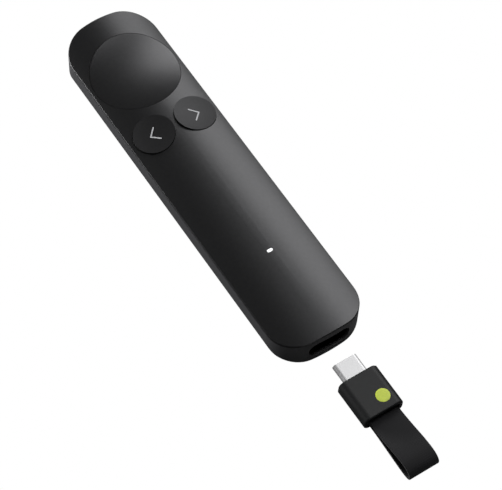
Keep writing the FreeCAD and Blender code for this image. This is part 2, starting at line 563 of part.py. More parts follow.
def page_button(label, side):
    # round cap whose rim plane leans with the crown, hollowed by a shallow sphere
    sign = "-" if side < 0 else ""
    cap = cylinder(label + "_cap", "page_button_rad", "8", "%s P.page_x" % sign, "page_y",
                   "P.page_surface - 4")
    slab = doc.addObject("Part::Cylinder", label + "_slab")
    bind(slab, "Radius", "P.page_rad * 2")
    bind(slab, "Height", "P.page_thick")
    slab.Placement = FreeCAD.Placement(V(0, 0, 0), FreeCAD.Rotation(V(0, side, 0), 11))
    bind(slab, "Placement.Rotation.Angle", "P.page_tilt")
    bind(slab, "Placement.Base.x", "%s (P.page_x + (P.page_proud - P.page_thick) * sin(P.page_tilt))" % sign)
    bind(slab, "Placement.Base.y", "P.page_y")
    bind(slab, "Placement.Base.z", "P.page_surface + (P.page_proud - P.page_thick) * cos(P.page_tilt)")
    hollow_ball = doc.addObject("Part::Sphere", label + "_ball")
    bind(hollow_ball, "Radius", "P.page_sphere")
    reach = "(P.page_proud + P.page_sphere - P.page_dish)"
    bind(hollow_ball, "Placement.Base.x", "%s (P.page_x + %s * sin(P.page_tilt))" % (sign, reach))
    bind(hollow_ball, "Placement.Base.y", "P.page_y")
    bind(hollow_ball, "Placement.Base.z", "P.page_surface + %s * cos(P.page_tilt)" % reach)
    disc = boolean("common", label + "_disc", [cap, slab])
    top = cut(label + "_top", disc, [hollow_ball])
    nub = cylinder(label + "_nub", "nub_rad", "P.page_surface - P.page_thick + 0.5 - P.nub_low",
                   "%s P.page_x" % sign, "page_y", "nub_low")
    tabs = []
    for k, s in enumerate(("-", "+")):
        wall_y = "P.page_y %s (P.page_rad + P.page_tab_reach/2 - 0.7) - (P.page_tab_reach + 1.4)/2" % s
        tabs.append(box("%s_tab_%d" % (label, k), "page_tab_wid", "P.page_tab_reach + 1.4", "page_tab_thick",
                        "%s P.page_tab_x" % sign, wall_y, "page_tab_low"))
        root_y = "P.page_y %s (P.page_button_rad - 1.0) - 0.7" % s
        tabs.append(box("%s_root_%d" % (label, k), "page_tab_wid", "1.4", "P.page_tab_thick + 0.9",
                        "%s P.page_tab_x" % sign, root_y, "page_tab_low"))
    keep(boolean("fuse", label, [top, nub] + tabs), label)


page_button("back_button", -1)
page_button("next_button", 1)

# receiver: metal plug, moulded housing, small board, clamp and strap loop
plug_out = rounded_block("plug_out", "XZ", "plug_wid", "plug_high", "plug_corner", "plug_tip",
                         "P.plug_len + P.plug_root - 0.6", "0", "dock_z")
plug_in = rounded_block("plug_in", "XZ", "plug_bore_wid", "plug_bore_high", "plug_bore_corner",
                        "P.plug_tip + 1", "P.plug_len + P.plug_root + 2", "0", "dock_z")
keep(cut("plug_shell", plug_out, [plug_in]), "plug_shell")
core = rounded_block("plug_core", "XZ", "core_wid", "core_high", "core_corner", "P.plug_tip - 0.4",
                     "P.plug_len + P.plug_root - 0.4", "0", "dock_z")
core_slot = box("core_slot", "core_slot_wid", "P.plug_len + 0.6", "core_slot_high", "0",
                "P.housing_front + 0.2", "P.dock_z - P.core_slot_high/2")
keep(cut("plug_insulator", core, [core_slot]), "plug_insulator")
pins = []
for k in range(12):
    for s in ("-", "+"):
        z = "P.dock_z - P.core_slot_high/2" if s == "-" else "P.dock_z + P.core_slot_high/2 - P.pin_thick"
        pins.append(box("pin_%d_%s" % (k, "up" if s == "+" else "low"), "pin_wid", "pin_len", "pin_thick",
                        "(%d - 5.5) * P.pin_pitch" % k, "P.housing_front + 0.25", z))
keep(boolean("fuse", "plug_contacts", pins), "plug_contacts")

housing_block = rounded_block("housing_block", "XZ", "housing_wid", "housing_high", "housing_side",
                              "housing_front", "housing_len", "0", "dock_z")


def rear_edge(edge):
    # outline of the strap end
    return abs(edge.BoundBox.YMax - num("housing_rear")) < 1e-4


def front_edge(edge):
    # outline of the plug end
    return abs(edge.BoundBox.YMin - num("housing_front")) < 1e-4


housing_rounded = dressed("housing_rounded", housing_block, rear_edge, "housing_end_round")
housing_body = dressed("housing_body", housing_rounded, front_edge, "housing_front_bevel", "Chamfer")
plug_gate = rounded_block("plug_gate", "XZ", "plug_wid", "plug_high", "plug_corner", "P.housing_front + 1",
                          "P.plug_root + 2", "0", "dock_z")
strap_slot = rounded_block("strap_slot", "XZ", "slot_wid", "slot_high", "slot_corner", "receiver_board_front",
                           "P.slot_depth + 2", "0", "dock_z")
keep(cut("receiver_housing", housing_body, [plug_gate, strap_slot]), "receiver_housing")
keep(box("receiver_board", "receiver_board_wid", "P.receiver_board_len - 0.1", "receiver_board_thick", "0",
         "anchor_front", "P.dock_z - P.receiver_board_thick/2"), "receiver_board")
keep(box("receiver_chip", "chip_side", "chip_side", "chip_high", "0",
         "P.receiver_board_front - P.receiver_board_len/2 - P.chip_side/2",
         "P.dock_z + P.receiver_board_thick/2"), "receiver_chip")
keep(box("strap_clamp", "anchor_wid", "anchor_len", "anchor_high", "0", "P.anchor_front - P.anchor_len",
         "P.dock_z - P.anchor_high/2"), "strap_clamp")

# strap: a band folded over, its two layers lying together at the clamp and parting toward the round end
strap = new_body("strap_loop")
loop = new_sketch(strap, "YZ", "strap_section")
bind(loop, "AttachmentOffset.Base.x", "P.strap_start")
bind(loop, "AttachmentOffset.Base.y", "P.dock_z - P.strap_drop")
reach, rad, t = num("strap_reach"), num("loop_rad"), num("strap_thick")
lean = math.asin((rad - t) / (reach - num("strap_flat")))


def flank(sign, radius, x_far, turn_angle, x_near, y_near):
    # tangent line from the clamp side to the loop circle
    far = V(-x_far - radius * math.sin(turn_angle), sign * radius * math.cos(turn_angle), 0)
    return V(-x_near, sign * y_near, 0), far


flat_x = num("strap_flat")
up0, up1 = flank(1, rad, reach, -lean, flat_x, t)
lo0, lo1 = flank(-1, rad, reach, -lean, flat_x, t)
go = loop.addGeometry
outer_up_flat = go(Part.LineSegment(V(0, t, 0), V(-flat_x, t, 0)), False)
outer_up = go(Part.LineSegment(up0, up1), False)
outer_arc = go(Part.ArcOfCircle(Part.Circle(V(-reach, 0, 0), V(0, 0, 1), rad),
                                math.pi / 2 - lean, 3 * math.pi / 2 + lean), False)
outer_lo = go(Part.LineSegment(lo1, lo0), False)
outer_lo_flat = go(Part.LineSegment(lo0, V(0, -t, 0)), False)
back_line = go(Part.LineSegment(V(0, -t, 0), V(0, t, 0)), False)
inner_r = rad - t
inner_a = V(-reach + inner_r * math.sin(lean), inner_r * math.cos(lean), 0)
inner_b = V(-reach + inner_r * math.sin(lean), -inner_r * math.cos(lean), 0)
tip_x = num("strap_flat")
inner_arc = go(Part.ArcOfCircle(Part.Circle(V(-reach, 0, 0), V(0, 0, 1), inner_r),
                                math.pi / 2 - lean, 3 * math.pi / 2 + lean), False)
inner_up = go(Part.LineSegment(V(-tip_x - 0.3, 0, 0), inner_a), False)
inner_lo = go(Part.LineSegment(inner_b, V(-tip_x - 0.3, 0, 0)), False)
con = loop.addConstraint
for a, pa, b, pb in ((outer_up_flat, 2, outer_up, 1), (outer_lo, 2, outer_lo_flat, 1),
                     (outer_lo_flat, 2, back_line, 1), (back_line, 2, outer_up_flat, 1),
                     (inner_lo, 2, inner_up, 1)):
    con(Sketcher.Constraint("Coincident", a, pa, b, pb))
for a, pa, b, pb in ((outer_up, 2, outer_arc, 1), (outer_arc, 2, outer_lo, 1),
                     (inner_up, 2, inner_arc, 1), (inner_arc, 2, inner_lo, 1)):
    con(Sketcher.Constraint("Tangent", a, pa, b, pb))
con(Sketcher.Constraint("Horizontal", outer_up_flat))
con(Sketcher.Constraint("Horizontal", outer_lo_flat))
con(Sketcher.Constraint("Vertical", back_line))
con(Sketcher.Constraint("Coincident", outer_arc, 3, inner_arc, 3))
con(Sketcher.Constraint("PointOnObject", outer_arc, 3, -1))
con(Sketcher.Constraint("PointOnObject", inner_up, 1, -1))
con(Sketcher.Constraint("PointOnObject", back_line, 1, -2))
fix(loop, "Radius", outer_arc, "loop_rad")
fix(loop, "Radius", inner_arc, "loop_inner_rad")
fix(loop, "DistanceX", outer_arc, 3, -1, 1, "strap_reach")
fix(loop, "DistanceX", inner_up, 1, -1, 1, "strap_split")
fix(loop, "DistanceX", outer_up, 1, -1, 1, "strap_flat")
fix(loop, "DistanceX", outer_lo, 2, -1, 1, "strap_flat")
fix(loop, "DistanceY", -1, 1, outer_up, 1, "strap_thick")
fix(loop, "DistanceY", outer_lo, 2, -1, 1, "strap_thick")
pad(strap, loop, "strap_wid", True)
keep(strap, "strap_loop")

doc.recompute()
for label, obj in finished:
    shape = obj.Shape
    if "Invalid" in obj.State or "Error" in obj.State or shape.isNull() or not shape.isValid():
        raise RuntimeError("bad object " + label)
for obj in doc.Objects:
    if "Invalid" in obj.State or "Error" in obj.State:
        raise RuntimeError("unsolved object " + obj.Name)
for label, obj in finished:
    obj.Shape.exportStep("parts/%s.step" % label)
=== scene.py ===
import math

import bmesh
import bpy
from bpy.props import FloatProperty, FloatVectorProperty, PointerProperty
from mathutils import Matrix, Vector


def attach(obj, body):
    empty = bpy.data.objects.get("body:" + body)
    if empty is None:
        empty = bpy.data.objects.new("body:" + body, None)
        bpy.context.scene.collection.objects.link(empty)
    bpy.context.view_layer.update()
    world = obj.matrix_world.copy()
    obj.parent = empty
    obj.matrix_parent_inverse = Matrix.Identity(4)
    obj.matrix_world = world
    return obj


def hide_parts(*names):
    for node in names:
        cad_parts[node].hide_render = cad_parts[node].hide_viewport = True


bl_info = {
    "name": "Presentation clicker looks",
    "version": (1, 0, 0),
    "blender": (4, 5, 0),
    "location": "3D View > Sidebar > Clicker",
    "description": "Finishes, button marks, receiver dot, strap loop and studio for the presentation clicker",
    "category": "Object",
}

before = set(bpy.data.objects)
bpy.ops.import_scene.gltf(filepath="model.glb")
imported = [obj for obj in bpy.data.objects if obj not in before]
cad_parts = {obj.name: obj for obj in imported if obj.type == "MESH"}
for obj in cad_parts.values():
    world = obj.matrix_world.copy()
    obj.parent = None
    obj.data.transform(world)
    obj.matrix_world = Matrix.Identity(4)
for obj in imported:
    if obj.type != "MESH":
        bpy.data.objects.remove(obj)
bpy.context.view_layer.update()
MM = 0.001
# the wave texture makes one band on each of these lengths of its scaled coordinate
WAVE_TURN = 2 * math.pi / 20


def extent(node):
    # lowest and highest corner of a frame node, in millimetres
    corners = [Vector(c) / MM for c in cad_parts[node].bound_box]
    return [Vector([pick(c[k] for c in corners) for k in range(3)]) for pick in (min, max)]


# places read from the frame, in millimetres
NEXT_LOW, NEXT_HIGH = extent("next_button")
LENS_LOW, LENS_HIGH = extent("led_lens")
HOUSING_LOW, HOUSING_HIGH = extent("receiver_housing")
STRAP_LOW, STRAP_HIGH = extent("strap_loop")
PAGE_X = (NEXT_LOW.x + NEXT_HIGH.x) / 2
PAGE_Y = (NEXT_LOW.y + NEXT_HIGH.y) / 2
LENS_Y = (LENS_LOW.y + LENS_HIGH.y) / 2
STRAP_MID_Z = (STRAP_LOW.z + STRAP_HIGH.z) / 2
# form of a page button, as the part's source has it: lean of its rim, height of the crown there, how far the
# rim stands out, depth of the hollow and radius of its sphere
PAGE_TILT = math.radians(10.92)
PAGE_SURFACE = 11.269
PAGE_PROUD = 0.25
PAGE_DISH = 0.40
PAGE_SPHERE = 54.32
# the arrows, in millimetres: how far out and back of the cap's middle they lie, and how deep they reach in
MARK_OUT = 0.10
MARK_BACK = 0.15
MARK_SINK = 0.02
# the dot: share of its radius and height over the housing of each ring, and how many sides it has
DOT_RINGS = ((1.0, -0.03), (1.0, 0.012), (0.975, 0.03), (0.6, 0.036), (0.0, 0.038))
DOT_SIDES = 48
# the ribbon: distance out of the housing, then height over the middle of the loop, for each of its layers
STRAP_UPPER = [(3.7, 0.75), (8.1, 1.50), (12.5, 2.40), (16.3, 2.75), (18.7, 2.30)]
STRAP_LOWER = [(18.9, -1.25), (16.4, -1.50), (12.4, -1.25), (7.9, -0.85), (3.7, -0.52)]
STRAP_MOUTH = 0.1
STRAP_INSIDE = 0.08
STRAP_END = 0.5
LAYER_GAP = 0.02
RIBBON_EDGE = 0.2
RIBBON_STEPS = 10

# sizes of the patterns as drawn, in millimetres, with a typical real size beside each. Most are drawn several
# times coarser than the real ones. A pixel of the photograph's view is 0.31 mm wide, so those under about
# 0.6 still don't show in it, where the real surfaces look smooth too, and only show from closer
TONE_DRIFT = 1.1      # slow drift of a moulded or coated colour, about 1
FLAKE = 0.19          # flake in the lacquer, about 0.03
CASE_TEXTURE = 0.24   # spark-eroded mould of the case, about 0.05
TOUCH_GRAIN = 0.28    # beads in the soft coating, about 0.03
NYLON_GRAIN = 0.33    # mould texture, about 0.05
MASK_RIPPLE = 0.67    # solder mask over the glass weave, about 0.5
FOIL_CRINKLE = 2.5    # creases of the pouch, 2 to 3
FOAM_PORE = 0.83      # cut pores, about 0.5
STEEL_GRAIN = 0.45    # rolling grain, about 0.1
GOLD_GRAIN = 0.50     # plating, about 0.05
BRUSH_LINE = 0.17     # brush marks, about 0.05
MILK_CLOUD = 0.67     # haze in the opal plastic, about 0.5
INK_GRAIN = 0.33      # pad print, about 0.05
ENAMEL_RIPPLE = 0.38  # screen print, about 0.1
THREAD = 0.6          # ribbon's thread, about 0.2, drawn about two pixels wide


def colour(code):
    # sRGB hex to the linear values that shaders take
    parts = [int(code[i:i + 2], 16) / 255 for i in (1, 3, 5)]
    linear = [c / 12.92 if c <= 0.04045 else ((c + 0.055) / 1.055) ** 2.4 for c in parts]
    return (*linear, 1.0)


def shade(value, share):
    # a linear colour made darker or lighter by a share of itself
    return (*[min(c * share, 1.0) for c in tuple(value)[:3]], 1.0)


# materials

def add(tree, kind, inputs, **settings):
    # one node with its settings; an input is a number, a colour or the socket that feeds it
    node = tree.nodes.new(kind)
    for word, value in settings.items():
        setattr(node, word, value)
    for socket, value in inputs.items():
        if isinstance(value, bpy.types.NodeSocket):
            tree.links.new(value, node.inputs[socket])
        else:
            node.inputs[socket].default_value = value
    return node


def start(name):
    # an empty shader tree for a material
    material = bpy.data.materials.new(name)
    material.use_nodes = True
    material.node_tree.nodes.clear()
    return material, material.node_tree


def skin(name, base, rough, metallic, grain, depth, drift=0.05, coat=0.0, specular=0.5):
    # moulded, coated or rolled surface: its colour drifts by a small share of itself, and a fine grain, given
    # with its depth in millimetres, breaks up the highlight
    material, tree = start(name)
    place = add(tree, "ShaderNodeTexCoord", {}).outputs["Object"]
    cloud = add(tree, "ShaderNodeTexNoise", {"Vector": place, "Scale": 1 / (TONE_DRIFT * MM), "Detail": 4.0})
    spread = add(tree, "ShaderNodeMapRange", {"Value": cloud.outputs["Fac"], "From Min": 0.3, "From Max": 0.7})
    tone = add(tree, "ShaderNodeMix", {0: spread.outputs["Result"], 6: shade(base, 1 - drift),
                                       7: shade(base, 1 + drift)}, data_type="RGBA")
    fine = add(tree, "ShaderNodeTexNoise", {"Vector": place, "Scale": 1 / (grain * MM), "Detail": 3.0,
                                            "Roughness": 0.6})
    gloss = add(tree, "ShaderNodeMapRange", {"Value": fine.outputs["Fac"], "From Min": 0.3, "From Max": 0.7,
                                             "To Min": rough - 0.05, "To Max": rough + 0.05})
    relief = add(tree, "ShaderNodeBump", {"Height": fine.outputs["Fac"], "Strength": 0.25,
                                          "Distance": depth * MM})
    shell = add(tree, "ShaderNodeBsdfPrincipled", {
        "Base Color": tone.outputs[2], "Metallic": metallic, "Roughness": gloss.outputs["Result"],
        "Coat Weight": coat, "Coat Roughness": 0.25, "Specular IOR Level": specular,
        "Normal": relief.outputs["Normal"]})
    add(tree, "ShaderNodeOutputMaterial", {"Surface": shell.outputs["BSDF"]})
    return material


def cover_lacquer():
    # metallic lacquer sprayed on the moulded cover: fine flake gives one broad soft streak along the crown
    tone = bpy.context.scene.clicker_finish.cover
    return skin("metallic_lacquer_sprayed_cover", tone, 0.39, 0.84, FLAKE, 0.003, coat=0.12)


def case_abs():
    # moulded ABS of the lower case, fine spark-eroded texture: duller and more even than the cover
    tone = bpy.context.scene.clicker_finish.case
    return skin("abs_moulded_textured_case", tone, 0.46, 0.25, CASE_TEXTURE, 0.004)


def page_lacquer():
    # sprayed lacquer on the moulded page buttons: duller and a shade darker than the cover
    tone = bpy.context.scene.clicker_finish.page
    return skin("metallic_lacquer_sprayed_page_caps", tone, 0.47, 0.74, FLAKE, 0.003)


def dish_lacquer():
    # sprayed lacquer on the moulded dish: a little smoother, so the light rolls across its hollow
    tone = bpy.context.scene.clicker_finish.dish
    return skin("metallic_lacquer_sprayed_dish", tone, 0.33, 0.85, FLAKE, 0.003, coat=0.12)


def receiver_coating():
    # polycarbonate with a soft-touch coating: dark, even, with a dull sheen on its rounded side
    tone = bpy.context.scene.clicker_finish.receiver
    return skin("polycarbonate_soft_touch_receiver", tone, 0.50, 0.0, TOUCH_GRAIN, 0.006, specular=0.25)


def dock_nylon():
    # black moulded nylon, so dull that the dock reads as a hole
    return skin("nylon_moulded_black", colour("#040404"), 0.70, 0.0, NYLON_GRAIN, 0.010, specular=0.12)


def epoxy_board():
    # glass-epoxy board under green solder mask, smooth and slightly glossy
    return skin("glass_epoxy_solder_mask", colour("#16452B"), 0.35, 0.0, MASK_RIPPLE, 0.010, 0.1)


def pouch_foil():
    # aluminium laminate round the cell, rolled and softly crinkled
    return skin("aluminium_laminate_rolled", colour("#A8AAAE"), 0.35, 0.9, FOIL_CRINKLE, 0.050, 0.08)


def pad_foam():
    # closed-cell foam, matt with open pores
    return skin("polyurethane_foam_cut", colour("#1C1C1C"), 0.90, 0.0, FOAM_PORE, 0.080, 0.15)


def stamped_steel():
    # stamped stainless sheet, bright with a tight grain
    return skin("stainless_steel_stamped", colour("#B6B7B9"), 0.28, 1.0, STEEL_GRAIN, 0.006, 0.08)


def plated_gold():
    # gold plate on the spring contacts: warm, smooth glints
    return skin("gold_plated_contacts", colour("#D3A648"), 0.25, 1.0, GOLD_GRAIN, 0.004)


def brushed_nickel():
    # nickel plate on the plug, brushed along it: pale, soft and even. Its metallic is set well under a real
    # metal's, to match the photograph's flat grey
    material, tree = start("nickel_plated_brushed_plug")
    place = add(tree, "ShaderNodeTexCoord", {}).outputs["Object"]
    along = add(tree, "ShaderNodeMapping", {"Vector": place, "Scale": (1.0, 0.05, 1.0)})
    lines = add(tree, "ShaderNodeTexNoise", {"Vector": along.outputs["Vector"], "Scale": 1 / (BRUSH_LINE * MM)})
    tone = add(tree, "ShaderNodeMix", {0: lines.outputs["Fac"], 6: colour("#CFCFD0"), 7: colour("#D6D6D7")},
               data_type="RGBA")
    gloss = add(tree, "ShaderNodeMapRange", {"Value": lines.outputs["Fac"], "To Min": 0.42, "To Max": 0.50})
    relief = add(tree, "ShaderNodeBump", {"Height": lines.outputs["Fac"], "Strength": 0.15,
                                          "Distance": 0.001 * MM})
    metal = add(tree, "ShaderNodeBsdfPrincipled", {
        "Base Color": tone.outputs[2], "Metallic": 0.45, "Roughness": gloss.outputs["Result"],
        "Normal": relief.outputs["Normal"]})
    add(tree, "ShaderNodeOutputMaterial", {"Surface": metal.outputs["BSDF"]})
    return material


def lit_window():
    # opal polycarbonate lit from below: white over the emitter, fading to the ends of the slot
    material, tree = start("opal_polycarbonate_moulded_lit")
    place = add(tree, "ShaderNodeTexCoord", {}).outputs["Object"]
    reach = add(tree, "ShaderNodeVectorMath", {0: place, 1: (0, LENS_Y * MM, LENS_HIGH.z * MM)},
                operation="DISTANCE")
    glow = add(tree, "ShaderNodeMapRange", {"Value": reach.outputs["Value"], "From Min": 0.4 * MM,
                                            "From Max": 1.0 * MM, "To Min": 0.9, "To Max": 0.05})
    milk = add(tree, "ShaderNodeTexNoise", {"Vector": place, "Scale": 1 / (MILK_CLOUD * MM), "Detail": 1.0})
    tone = add(tree, "ShaderNodeMix", {0: milk.outputs["Fac"], 6: colour("#F2F6F8"), 7: colour("#FFFFFF")},
               data_type="RGBA")
    window = add(tree, "ShaderNodeBsdfPrincipled", {
        "Base Color": tone.outputs[2], "Roughness": 0.3, "Emission Color": tone.outputs[2],
        "Emission Strength": glow.outputs["Result"]})
    add(tree, "ShaderNodeOutputMaterial", {"Surface": window.outputs["BSDF"]})
    return material


def printed_ink():
    # pale grey ink, pad printed: flat and dull beside the lacquer
    tone = bpy.context.scene.clicker_finish.arrows
    return skin("acrylic_ink_pad_printed", tone, 0.50, 0.0, INK_GRAIN, 0.006)


def dot_enamel():
    # screen-printed enamel: a satin skin that stays bright on the dark housing
    tone = bpy.context.scene.clicker_finish.dot
    return skin("enamel_printed_dot", tone, 0.50, 0.0, ENAMEL_RIPPLE, 0.010)


def woven_ribbon():
    # polyester ribbon in a tight plain weave: matt, with a faint nap at grazing angles
    material, tree = start("polyester_ribbon_woven")
    tone = bpy.context.scene.clicker_finish.ribbon
    flat = add(tree, "ShaderNodeTexCoord", {}).outputs["UV"]
    threads = {"Vector": flat, "Scale": WAVE_TURN / THREAD, "Distortion": 0.4, "Detail": 1.0}
    warp, weft = (add(tree, "ShaderNodeTexWave", threads, wave_type="BANDS", bands_direction=way)
                  for way in ("X", "Y"))
    weave = add(tree, "ShaderNodeMath", {0: warp.outputs["Fac"], 1: weft.outputs["Fac"]}, operation="MULTIPLY")
    cloth = add(tree, "ShaderNodeMix", {0: weave.outputs["Value"], 6: shade(tone, 0.8), 7: shade(tone, 1.3)},
                data_type="RGBA")
    relief = add(tree, "ShaderNodeBump", {"Height": weave.outputs["Value"], "Strength": 0.25,
                                          "Distance": 0.03 * MM})
    ribbon = add(tree, "ShaderNodeBsdfPrincipled", {
        "Base Color": cloth.outputs[2], "Roughness": 0.78, "Sheen Weight": 0.15, "Sheen Roughness": 0.4,
        "Specular IOR Level": 0.25, "Normal": relief.outputs["Normal"]})
    add(tree, "ShaderNodeOutputMaterial", {"Surface": ribbon.outputs["BSDF"]})
    return material


# one finish per frame node
NODE_FINISH = {
    "bottom_case": case_abs, "top_cover": cover_lacquer, "dock_sleeve": dock_nylon,
    "usb_receptacle": stamped_steel, "receptacle_tongue": dock_nylon, "main_board": epoxy_board,
    "board_screws": stamped_steel, "pointer_switch": stamped_steel, "back_switch": stamped_steel,
    "next_switch": stamped_steel, "status_led": lit_window, "led_lens": lit_window,
    "radio_shield": stamped_steel, "battery": pouch_foil, "battery_pad": pad_foam,
    "haptic_motor": stamped_steel, "pointer_button": dish_lacquer, "back_button": page_lacquer,
    "next_button": page_lacquer, "plug_shell": brushed_nickel, "plug_insulator": dock_nylon,
    "plug_contacts": plated_gold, "receiver_housing": receiver_coating, "receiver_board": epoxy_board,
    "receiver_chip": dock_nylon, "strap_clamp": dock_nylon,
}
MADE = {}


def finish_of(maker):
    # each finish is made once
    if maker not in MADE:
        MADE[maker] = maker()
    return MADE[maker]


# mesh helpers

def mesh_object(name, verts, faces, material, uvs=None):
    mesh = bpy.data.meshes.new(name)
    mesh.from_pydata([tuple(c * MM for c in v) for v in verts], [], faces)
    if uvs:
        layer = mesh.uv_layers.new(name="UVMap")
        for loop in mesh.loops:
            layer.data[loop.index].uv = uvs[loop.vertex_index]
    mesh.materials.append(material)
    obj = bpy.data.objects.new(name, mesh)
    bpy.context.scene.collection.objects.link(obj)
    return obj


def smooth(obj, angle=35):
    for polygon in obj.data.polygons:
        polygon.use_smooth = True
    obj.data.set_sharp_from_angle(angle=math.radians(angle))


def tidy_normals(obj):
    made = bmesh.new()
    made.from_mesh(obj.data)
    bmesh.ops.recalc_face_normals(made, faces=made.faces)
    made.to_mesh(obj.data)
    made.free()


def page_height(side, x, y):
    # height of the hollowed face of a page button at a plan point
    reach = PAGE_PROUD + PAGE_SPHERE - PAGE_DISH
    cx = side * (PAGE_X + reach * math.sin(PAGE_TILT))
    cz = PAGE_SURFACE + reach * math.cos(PAGE_TILT)
    return cz - math.sqrt(PAGE_SPHERE ** 2 - (x - cx) ** 2 - (y - PAGE_Y) ** 2)


def chevron(side, reach, spread, width, lift):
    # printed arrow: round-ended bent stroke lying on the hollowed face, pointing outward
    mid = side * (PAGE_X + MARK_OUT)
    tip = Vector((mid + side * reach / 2, PAGE_Y - MARK_BACK))
    ends = [Vector((mid - side * reach / 2, PAGE_Y - MARK_BACK + s * spread / 2)) for s in (1, -1)]
    path = [ends[0], tip, ends[1]]
    half = width / 2
    outline = []
    first = (path[1] - path[0]).normalized()
    last = (path[2] - path[1]).normalized()
    n1 = Vector((-first.y, first.x))
    n2 = Vector((-last.y, last.x))
    bend = (n1 + n2).normalized()
    span = half / bend.dot(n1)
    start = math.atan2(n1.y, n1.x)
    for k in range(7):
        a = start + math.pi * k / 6
        outline.append(path[0] + Vector((math.cos(a), math.sin(a))) * half)
    outline.append(path[1] - bend * span)
    stop = math.atan2(-n2.y, -n2.x)
    for k in range(7):
        a = stop + math.pi * k / 6
        outline.append(path[2] + Vector((math.cos(a), math.sin(a))) * half)
    outline.append(path[1] + bend * span)
    lower = [(p.x, p.y, page_height(side, p.x, p.y) - MARK_SINK) for p in outline]
    upper = [(p.x, p.y, page_height(side, p.x, p.y) + lift) for p in outline]
    count = len(outline)
    faces = [list(range(count, 2 * count)), list(range(count))[::-1]]
    for k in range(count):
        n = (k + 1) % count
        faces.append([k, n, count + n, count + k])
    name = "mark_next" if side > 0 else "mark_back"
    obj = mesh_object(name, lower + upper, faces, finish_of(printed_ink))
    tidy_normals(obj)
    return obj


def curve_through(points, steps):
    # smooth path through y, z points
    path = []
    for k in range(len(points) - 1):
        a = Vector(points[max(k - 1, 0)])
        b = Vector(points[k])
        c = Vector(points[k + 1])
        d = Vector(points[min(k + 2, len(points) - 1)])
        for s in range(steps):
            t = s / steps
            path.append(0.5 * ((2 * b) + (c - a) * t + (2 * a - 5 * b + 4 * c - d) * t * t
                               + (3 * b - a - 3 * c + d) * t ** 3))
    path.append(Vector(points[-1]))
    return path


def folded_band(name, points, width, thick, corner, material):
    # flat band of rounded section swept along a path in the plane X = 0
    path = curve_through(points, RIBBON_STEPS)
    section = []
    half_w = width / 2
    half_t = thick / 2
    for cx, cy, start in ((half_w - corner, half_t - corner, 0), (-half_w + corner, half_t - corner, 90),
                          (-half_w + corner, -half_t + corner, 180), (half_w - corner, -half_t + corner, 270)):
        for k in range(5):
            a = math.radians(start + 22.5 * k)
            section.append((cx + corner * math.cos(a), cy + corner * math.sin(a)))
    verts = []
    uvs = []
    travelled = 0.0
    for i, point in enumerate(path):
        before = path[max(i - 1, 0)]
        after = path[min(i + 1, len(path) - 1)]
        along = (after - before).normalized()
        normal = Vector((-along.y, along.x))
        travelled += (point - before).length
        for x, t in section:
            spot = point + normal * t
            verts.append((x, spot.x, spot.y))
            uvs.append((x, travelled))
    ring = len(section)
    faces = []
    for i in range(len(path) - 1):
        for k in range(ring):
            n = (k + 1) % ring
            faces.append([i * ring + k, i * ring + n, (i + 1) * ring + n, (i + 1) * ring + k])
    faces.append(list(range(ring)))
    faces.append(list(range(len(verts) - ring, len(verts)))[::-1])
    obj = mesh_object(name, verts, faces, material, uvs)
    tidy_normals(obj)
    smooth(obj, 50)
    return obj


class ClickerMarks(bpy.types.PropertyGroup):
    reach: FloatProperty(name="Arrow depth", description="Length of the arrow from its open side to its tip",
                         default=0.0023, unit="LENGTH")
    spread: FloatProperty(name="Arrow height", description="Distance between the two ends of an arrow",
                          default=0.0046, unit="LENGTH")
    stroke: FloatProperty(name="Stroke", description="Width of the printed line", default=0.00042,
                          unit="LENGTH")
    lift: FloatProperty(name="Ink height", description="How far the ink stands on the cap",
                        default=0.00003, unit="LENGTH", precision=6)


class ClickerReceiver(bpy.types.PropertyGroup):
    dot_size: FloatProperty(name="Dot diameter", description="Diameter of the coloured dot on the receiver",
                            default=0.0044, unit="LENGTH")
    dot_place: FloatVectorProperty(name="Dot place", description="Plan position of the dot, in metres", size=2,
                                   default=(0.00235, -0.0897), subtype="XYZ", unit="LENGTH")
    strap_width: FloatProperty(name="Strap width", description="Width of the ribbon", default=0.0102,
                               unit="LENGTH")
    strap_thick: FloatProperty(name="Strap thickness", description="Thickness of one layer of the ribbon",
                               default=0.00085, unit="LENGTH")


class ClickerFinish(bpy.types.PropertyGroup):
    cover: FloatVectorProperty(name="Cover", description="Lacquer of the top cover", size=3, subtype="COLOR",
                               default=colour("#343435")[:3])
    case: FloatVectorProperty(name="Case", description="Plastic of the lower case", size=3, subtype="COLOR",
                              default=colour("#4A4A4C")[:3])
    dish: FloatVectorProperty(name="Dish", description="Lacquer of the pointer button", size=3,
                              subtype="COLOR", default=colour("#39393A")[:3])
    page: FloatVectorProperty(name="Page buttons", description="Lacquer of the two page buttons", size=3,
                              subtype="COLOR", default=colour("#282829")[:3])
    arrows: FloatVectorProperty(name="Arrows", description="Ink of the two arrows", size=3, subtype="COLOR",
                                default=colour("#BBBCBF")[:3])
    receiver: FloatVectorProperty(name="Receiver", description="Coating of the receiver", size=3,
                                  subtype="COLOR", default=colour("#1A1B1C")[:3])
    dot: FloatVectorProperty(name="Dot", description="Enamel of the dot on the receiver", size=3,
                             subtype="COLOR", default=colour("#CFE044")[:3])
    ribbon: FloatVectorProperty(name="Ribbon", description="Yarn of the strap", size=3, subtype="COLOR",
                                default=colour("#1D1D1F")[:3])


class ClickerStage(bpy.types.PropertyGroup):
    key: FloatProperty(name="Key light", description="Power of the large soft light on the right",
                       default=3.6, unit="POWER")
    side: FloatProperty(name="Side light", description="Power of the light on the left wall",
                        default=5.2, unit="POWER")
    room: FloatProperty(name="Room light", description="Brightness of the room that the surfaces see",
                        default=0.02, subtype="FACTOR")


